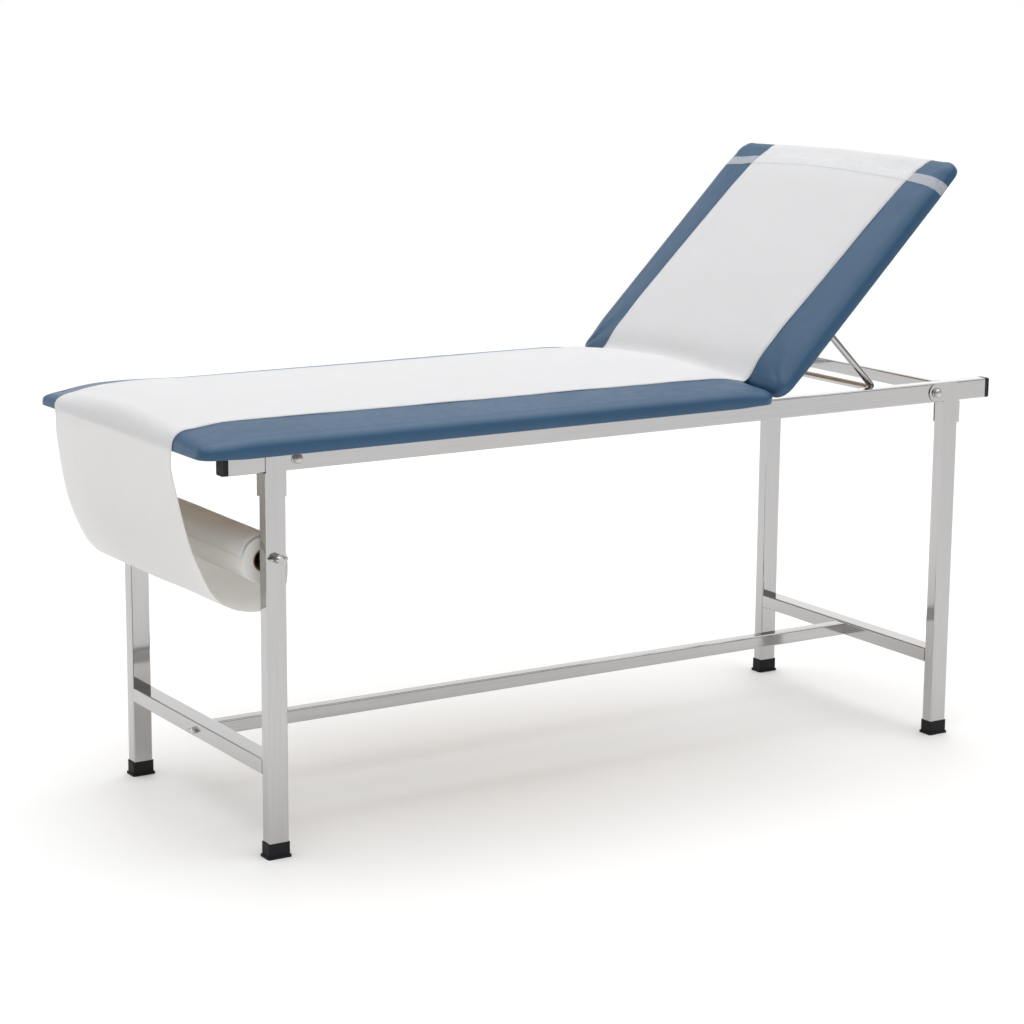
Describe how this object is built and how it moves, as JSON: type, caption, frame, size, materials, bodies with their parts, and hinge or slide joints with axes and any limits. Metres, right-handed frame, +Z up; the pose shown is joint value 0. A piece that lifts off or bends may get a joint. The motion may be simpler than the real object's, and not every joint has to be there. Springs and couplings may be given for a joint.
{
  "type": "medical exam table",
  "caption": "Folding-frame exam couch with two padded sections, a tilting backrest held by a prop, and a paper roll hung below the foot end that feeds a sheet over the pads.",
  "frame": {"origin": "on the floor, below the middle of the table's outline in plan", "axes": "+X towards the head end with the backrest, +Y to the far side, +Z up"},
  "size_m": [1.786, 0.7025, 1.1984],
  "materials": {
    "brushed_steel_tube": "polished",
    "zinc_hardware": "satin",
    "black_plastic": "matte",
    "black_rubber": "matte",
    "blue_vinyl": "semi-gloss artificial leather",
    "foam": "matte",
    "plywood": "raw",
    "exam_paper": "matte",
    "cardboard_core": "matte",
    "clear_strap": "clear"
  },
  "bodies": {
    "frame": {"side_rail_near": "brushed_steel_tube", "side_rail_far": "brushed_steel_tube", "cross_tube_foot": "brushed_steel_tube", "cross_tube_hinge": "brushed_steel_tube", "cross_tube_head": "brushed_steel_tube", "leg_foot_near": "brushed_steel_tube", "rubber_foot_foot_near": "black_rubber", "leg_bracket_foot_near": "brushed_steel_tube", "pivot_bolt_foot_near": "zinc_hardware", "pivot_nut_foot_near": "zinc_hardware", "rail_end_cap_foot_near": "black_plastic", "leg_foot_far": "brushed_steel_tube", "rubber_foot_foot_far": "black_rubber", "leg_bracket_foot_far": "brushed_steel_tube", "pivot_bolt_foot_far": "zinc_hardware", "pivot_nut_foot_far": "zinc_hardware", "rail_end_cap_foot_far": "black_plastic", "leg_head_near": "brushed_steel_tube", "rubber_foot_head_near": "black_rubber", "leg_bracket_head_near": "brushed_steel_tube", "pivot_bolt_head_near": "zinc_hardware", "pivot_nut_head_near": "zinc_hardware", "rail_end_cap_head_near": "black_plastic", "leg_head_far": "brushed_steel_tube", "rubber_foot_head_far": "black_rubber", "leg_bracket_head_far": "brushed_steel_tube", "pivot_bolt_head_far": "zinc_hardware", "pivot_nut_head_far": "zinc_hardware", "rail_end_cap_head_far": "black_plastic", "low_bar_foot": "brushed_steel_tube", "low_bar_head": "brushed_steel_tube", "stretcher": "brushed_steel_tube", "stretcher_plug_foot": "zinc_hardware", "stretcher_plug_head": "zinc_hardware", "roll_rod": "brushed_steel_tube", "paper_sheet_seat": "exam_paper", "seat_cover": "blue_vinyl", "seat_foam": "foam", "seat_board": "plywood", "hinge_fixed_leaf": "zinc_hardware", "hinge_pin": "zinc_hardware", "prop_rack_near": "brushed_steel_tube", "prop_rack_far": "brushed_steel_tube"},
    "backrest": {"hinge_moving_leaf": "zinc_hardware", "backrest_cover": "blue_vinyl", "backrest_foam": "foam", "backrest_board": "plywood", "paper_sheet_back": "exam_paper", "paper_strap": "clear_strap", "prop_bracket_near": "zinc_hardware", "prop_bracket_far": "zinc_hardware", "prop_pin_near": "zinc_hardware", "prop_pin_far": "zinc_hardware"},
    "prop": {"prop_frame": "brushed_steel_tube"},
    "roll": {"paper_roll": "exam_paper", "roll_core": "cardboard_core"},
    "roll_nut_near": {"roll_wing_nut_near": "zinc_hardware"},
    "roll_nut_far": {"roll_wing_nut_far": "zinc_hardware"},
    "stretcher_screw_foot": {"stretcher_wing_screw_foot": "zinc_hardware"},
    "stretcher_screw_head": {"stretcher_wing_screw_head": "zinc_hardware"}
  },
  "joints": [
    {"name": "backrest_tilt", "type": "hinge", "parent": "frame", "child": "backrest", "pos_m": [0.3287, 0, 0.7265], "axis": [0, -1, 0], "range_deg": [-45, 10]},
    {"name": "prop_swing", "type": "hinge", "parent": "backrest", "child": "prop", "pos_m": [0.47932, 0, 0.87711], "axis": [0, -1, 0], "range_deg": [-20, 90]},
    {"name": "paper_roll_spin", "type": "hinge", "parent": "frame", "child": "roll", "pos_m": [-0.7278, 0, 0.5305], "axis": [0, 1, 0], "continuous": true},
    {"name": "roll_wing_nut_near_turn", "type": "hinge", "parent": "frame", "child": "roll_nut_near", "pos_m": [-0.7278, -0.305, 0.543], "axis": [0, 1, 0], "continuous": true},
    {"name": "roll_wing_nut_far_turn", "type": "hinge", "parent": "frame", "child": "roll_nut_far", "pos_m": [-0.7278, 0.305, 0.543], "axis": [0, 1, 0], "continuous": true},
    {"name": "stretcher_wing_screw_foot_turn", "type": "hinge", "parent": "frame", "child": "stretcher_screw_foot", "pos_m": [-0.7473, 0, 0.1625], "axis": [1, 0, 0], "continuous": true},
    {"name": "stretcher_wing_screw_head_turn", "type": "hinge", "parent": "frame", "child": "stretcher_screw_head", "pos_m": [0.8127, 0, 0.1625], "axis": [1, 0, 0], "continuous": true}
  ],
  "couplings": [
    {"joint": "prop_swing", "follows": "backrest_tilt", "ratio": -2}
  ]
}
